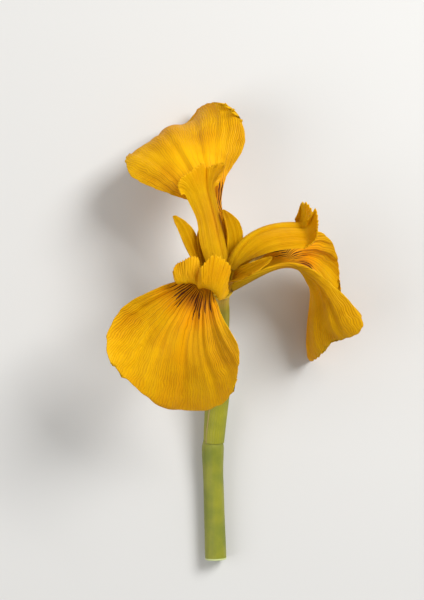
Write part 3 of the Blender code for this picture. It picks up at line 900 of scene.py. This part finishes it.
# %% Green finishes
def green_finish(name, light, dark, ribs, pale_end=None, throat=None, papery=None):
    """Leaf green with lengthwise ribs; may turn pale at the cut or yellow at the throat."""
    f = Finish(name)
    across, along = f.place()
    cloud = f.noise(110.0, 4.0)
    speck = f.noise(1500.0, 2.0)
    lines = f.stripes(f.math("MULTIPLY_ADD", f.noise(120.0, 1.0), 0.3,
                             f.times(across, ribs)))
    colour = f.mix(f.ramp(cloud, 0.3, 0.7), light, dark)
    colour = f.mix(f.times(lines, 0.3), colour, dark)
    colour = f.mix(f.times(f.ramp(speck, 0.62, 0.75), 0.25), colour, light)
    if throat:
        colour = f.mix(f.ramp(along, throat, 0.1), colour, srgb(206, 170, 20))
    if pale_end:
        colour = f.mix(f.ramp(along, pale_end, pale_end + 0.03), colour, srgb(196, 206, 142))
    if papery:
        dry = f.times(f.ramp(f.value("margin"), papery, 1.0),
                      f.ramp(cloud, 0.3, 0.5, 0.4, 1.0))
        colour = f.mix(dry, colour, srgb(176, 148, 92))
    f.put(f.skin.inputs["Base Color"], colour)
    f.put(f.skin.inputs["Roughness"], f.ramp(cloud, 0.3, 0.7, 0.42, 0.55))
    f.skin.inputs["Coat Weight"].default_value = 0.08
    f.bump(f.math("MULTIPLY_ADD", lines, 0.7, f.times(speck, 0.4)), 0.1, 0.7)
    return f.material


tube_skin = green_finish("tube skin", srgb(158, 146, 10), srgb(126, 122, 8), 6.0, throat=0.9)
ovary_skin = green_finish("ovary skin", srgb(138, 140, 20), srgb(104, 112, 14), 6.0)
stem_skin = green_finish("stem skin", srgb(146, 144, 22), srgb(112, 120, 14), 12.0, pale_end=8.93)
spathe_skin = green_finish(
    "spathe skin", srgb(158, 152, 20), srgb(124, 128, 14), 9.0, papery=0.9)

# %% [markdown]
# The cross-section of the ovary is a three-lobed round: the radius is multiplied
# by 1 + 0.05 cos(3 a). The stem swells at the joint where the spathe is attached,
# and its cut end is a flat disc with a slightly rounded rim.

# %% Tube, ovary and stem
# (distance along the line, radius) of what is seen
TUBE_SKIN = [
    (0.4, 3.7), (1.8, 2.8), (4.0, 2.3), (8.0, 2.2), (15.0, 2.2), (20.0, 2.4)]
OVARY_RADIUS = [
    (20.3, 2.4), (25.0, 2.8), (31.0, 3.0), (37.0, 2.6), (41.0, 1.8), (53.2, 1.7)]
STEM_RADIUS = [(52.7, 3.0), (54.5, 3.35), (57.0, 3.35), (62.0, 3.15), (70.0, 3.15), (90.0, 3.3)]


def stalk(name, stations, lobes, depth, rim, material, node):
    """A round body on the stem's line; radius = station radius (1 + depth cos(lobes a))."""
    at, radius = np.array(stations).T
    fine = np.unique(np.concatenate([
        np.linspace(at[0], at[0] + rim, 5), np.linspace(at[0], at[-1], 90),
        np.linspace(at[-1] - rim, at[-1], 5)]))
    radii = curve_through(at, radius, fine)
    near_end = np.minimum(fine - at[0], at[-1] - fine)
    rounding = rim * (1 - np.sqrt(1 - np.clip(1 - near_end / rim, 0, 1) ** 2))
    angle = np.linspace(0.0, 2 * math.pi, 64, endpoint=False)
    grid = rings(*line_frames(fine),
                 (radii - rounding)[:, None] * (1 + depth * np.cos(lobes * angle))[None], 64)
    grid[..., 2] = np.maximum(grid[..., 2], TABLE)
    body = grid_object(name, grid)
    add_places(body, np.repeat(angle[None] / (2 * math.pi) * 4, len(fine), 0),
               np.repeat(fine[:, None], 64, 1))
    settle(body, material, node)


stalk("tube_body", TUBE_SKIN, 6, 0.03, 0.3, tube_skin, "perianth_tube")
stalk("ovary_body", OVARY_RADIUS, 3, 0.05, 0.3, ovary_skin, "ovary")
stalk("stem_body", STEM_RADIUS, 8, 0.01, 0.25, stem_skin, "stem")

# %% [markdown]
# Two green spathe valves grow from the joint and wrap the ovary like the leaves
# of a bud. Each is a sheet on a circle round the stem's line; the wrapped angle
# shrinks to nothing at the tip, and the thin margins are papery.

# %% Spathe
SPATHE_INNER = [
    (53.2, 2.4, 120.0), (48.0, 2.6, 115.0), (38.0, 2.9, 100.0),
    (30.0, 3.2, 75.0), (24.0, 3.1, 45.0), (20.0, 2.8, 12.0),
]
SPATHE_OUTER = [
    (53.2, 2.9, 110.0), (48.0, 3.1, 105.0), (38.0, 3.4, 92.0),
    (28.0, 3.7, 65.0), (22.0, 3.6, 35.0), (18.0, 3.2, 10.0),
]
for name, stations, faces in (
        ("spathe_inner", SPATHE_INNER, 205.0), ("spathe_outer", SPATHE_OUTER, 25.0)):
    at, radius, half = np.array(stations).T
    order = np.linspace(0.0, 1.0, len(at))
    share = np.linspace(0.0, 1.0, 121)
    fine = curve_through(order, at, share)
    centre, across, up = line_frames(fine)
    place = np.linspace(-1.0, 1.0, 81)
    taper = np.sqrt(np.clip((1 - share) / 0.05, 0.01, 1.0))
    angle = np.radians(
        faces + (curve_through(order, half, share) * taper)[:, None] * place[None])
    ribs = 0.05 * np.cos(2 * math.pi * 9 * place)[None] * taper[:, None]
    radii = curve_through(order, radius, share)[:, None] + 0.3 + ribs
    spoke = np.cos(angle)[..., None] * across[:, None] + np.sin(angle)[..., None] * up[:, None]
    grid = centre[:, None] + radii[..., None] * spoke
    margin = np.maximum(np.abs(place)[None], bell(share, 1.0, 0.06)[:, None])
    valve = leaf_object(
        name + "_leaf", grid, 0.45, np.repeat(place[None], 121, 0),
        np.repeat(fine[:, None], 81, 1), margin)
    settle(valve, spathe_skin, name)

# %% [markdown]
# The flower lies on a plain pale table under soft studio light: one broad lamp
# high in front on the left, a weaker one on the right and an even sky. The
# camera looks straight down on it from 60 cm above the throat.

# %% Table, light and camera
low, high = (np.array(corner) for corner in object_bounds())
middle = (low + high) / 2

table_mesh = bpy.data.meshes.new("table")
reach = 1.5
table_mesh.from_pydata(
    [(-reach, -reach, 0), (reach, -reach, 0), (reach, reach, 0), (-reach, reach, 0)],
    [], [(0, 1, 2, 3)])
table = bpy.data.objects.new("table", table_mesh)
bpy.context.scene.collection.objects.link(table)
table_finish = Finish("table paint")
table_finish.skin.inputs["Base Color"].default_value = (0.62, 0.615, 0.60, 1.0)
table_finish.skin.inputs["Roughness"].default_value = 0.9
table_mesh.materials.append(table_finish.material)
table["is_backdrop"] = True


def lamp(name, place, size, power):
    """A square area lamp that points at the middle of the flower."""
    light = bpy.data.lights.new(name, "AREA")
    light.size = size
    light.energy = power
    thing = bpy.data.objects.new(name, light)
    bpy.context.scene.collection.objects.link(thing)
    thing.location = place
    aim = np.array(place) - middle
    flat = math.hypot(aim[0], aim[1])
    thing.rotation_euler = (math.atan2(flat, aim[2]), 0.0, math.atan2(aim[1], aim[0]) + math.pi / 2)
    return thing


key = lamp("key lamp", (0.42, 0.36, 0.6), 0.35, 6.9)
fill = lamp("fill lamp", (-0.6, -0.1, 0.6), 0.6, 2.4)
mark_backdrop(key, fill)
world = bpy.data.worlds.new("studio")
bpy.context.scene.world = world
world.use_nodes = True
sky = world.node_tree.nodes["Background"]
sky.inputs["Color"].default_value = (1.0, 0.99, 0.97, 1.0)
sky.inputs["Strength"].default_value = 0.42

bpy.context.scene.view_settings.view_transform = "Standard"
CAMERA_HEIGHT = 600.0
CAMERA_ASIDE = (-2.7, -3.0)
camera_data = bpy.data.cameras.new("camera")
camera_data.lens = 120.0
camera_data.sensor_width = 36.0
camera_data.clip_start = 0.01
camera = bpy.data.objects.new("camera", camera_data)
bpy.context.scene.collection.objects.link(camera)
camera.location = (THROAT + np.array([*CAMERA_ASIDE, CAMERA_HEIGHT])) * MM
bpy.context.scene.camera = camera
print("camera at", [round(v, 4) for v in camera.location])
